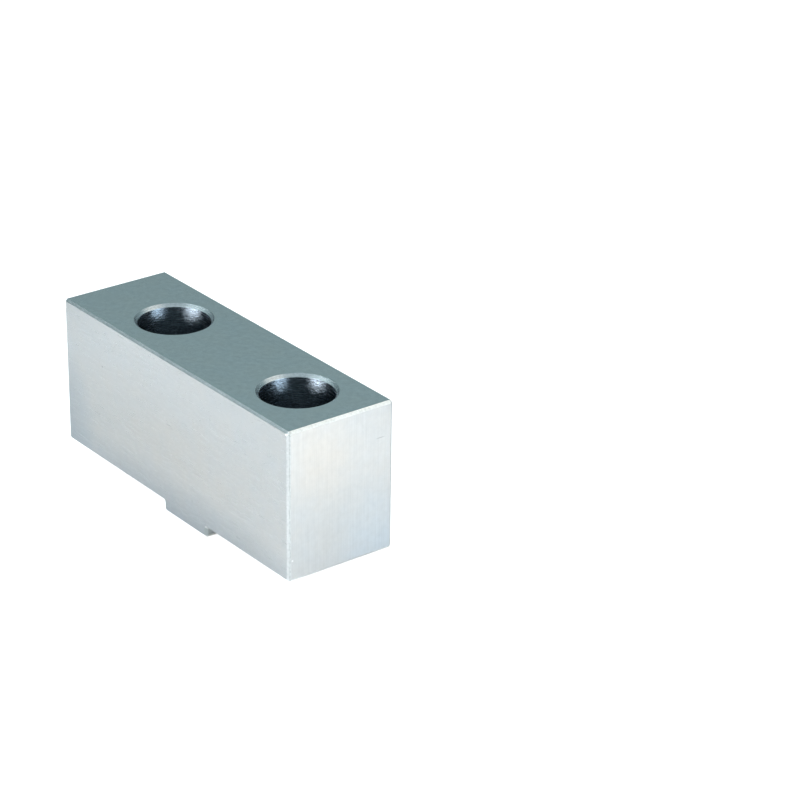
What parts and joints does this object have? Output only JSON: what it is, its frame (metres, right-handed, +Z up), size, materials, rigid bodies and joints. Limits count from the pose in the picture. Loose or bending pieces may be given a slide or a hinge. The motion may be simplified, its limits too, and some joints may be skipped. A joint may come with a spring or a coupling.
{
  "type": "soft chuck top jaw",
  "caption": "Steel top jaw blank for a two-piece lathe chuck jaw: a rectangular block with a cross tenon under it and counterbored screw holes through its top face.",
  "frame": {"origin": "centre of the overall box at its underside, which is the plane of the cross tenon's foot", "axes": "+X along the jaw towards its outer end, away from the work it grips; +Y across the jaw; +Z up, away from the chuck's face"},
  "size_m": [0.1, 0.0316, 0.0433],
  "materials": {
    "ground_steel": "surface-ground faces with fine straight grinding marks, turned bores, edges broken by hand"
  },
  "bodies": {
    "root": {"jaw": "ground_steel"}
  },
  "joints": []
}
